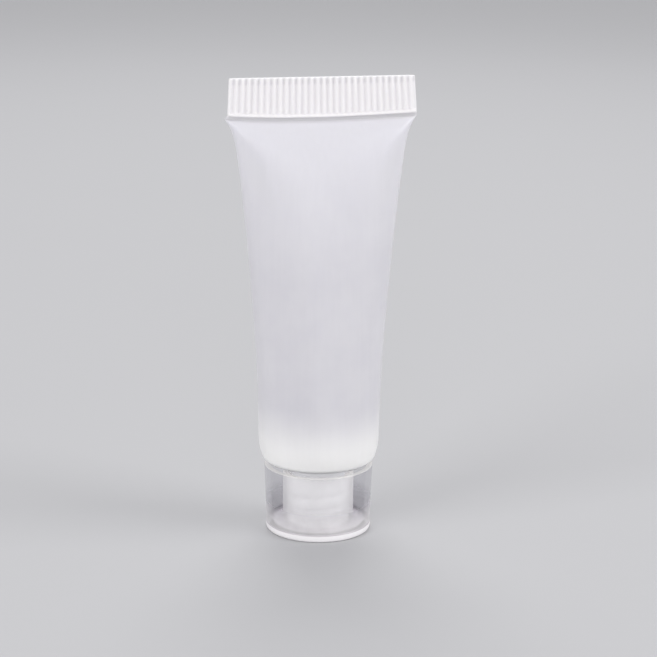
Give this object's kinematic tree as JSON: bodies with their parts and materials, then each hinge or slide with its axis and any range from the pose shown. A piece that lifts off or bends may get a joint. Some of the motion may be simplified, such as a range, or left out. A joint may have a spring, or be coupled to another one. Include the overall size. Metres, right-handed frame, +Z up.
{
  "type": "travel squeeze tube",
  "caption": "Small frosted plastic squeeze tube with a flat ribbed end seal, standing on its screw cap.",
  "frame": {"origin": "middle of the cap's underside, which is what the tube stands on", "axes": "+Z up the tube from the cap to the flat seal, +X along the seal, the broad faces look along -Y and +Y"},
  "size_m": [0.0296, 0.019, 0.072],
  "materials": {
    "cap": "clear natural plastic, lightly frosted",
    "head": "natural white plastic, satin",
    "sleeve": "frosted translucent soft plastic"
  },
  "bodies": {
    "cap": {"screw_cap": "cap"},
    "tube": {"tube_sleeve": "sleeve", "tube_head": "head"}
  },
  "joints": [
    {"name": "tube_lift", "type": "slide", "parent": "cap", "child": "tube", "axis": [0, 0, 1], "range_m": [0, 0.01]}
  ]
}
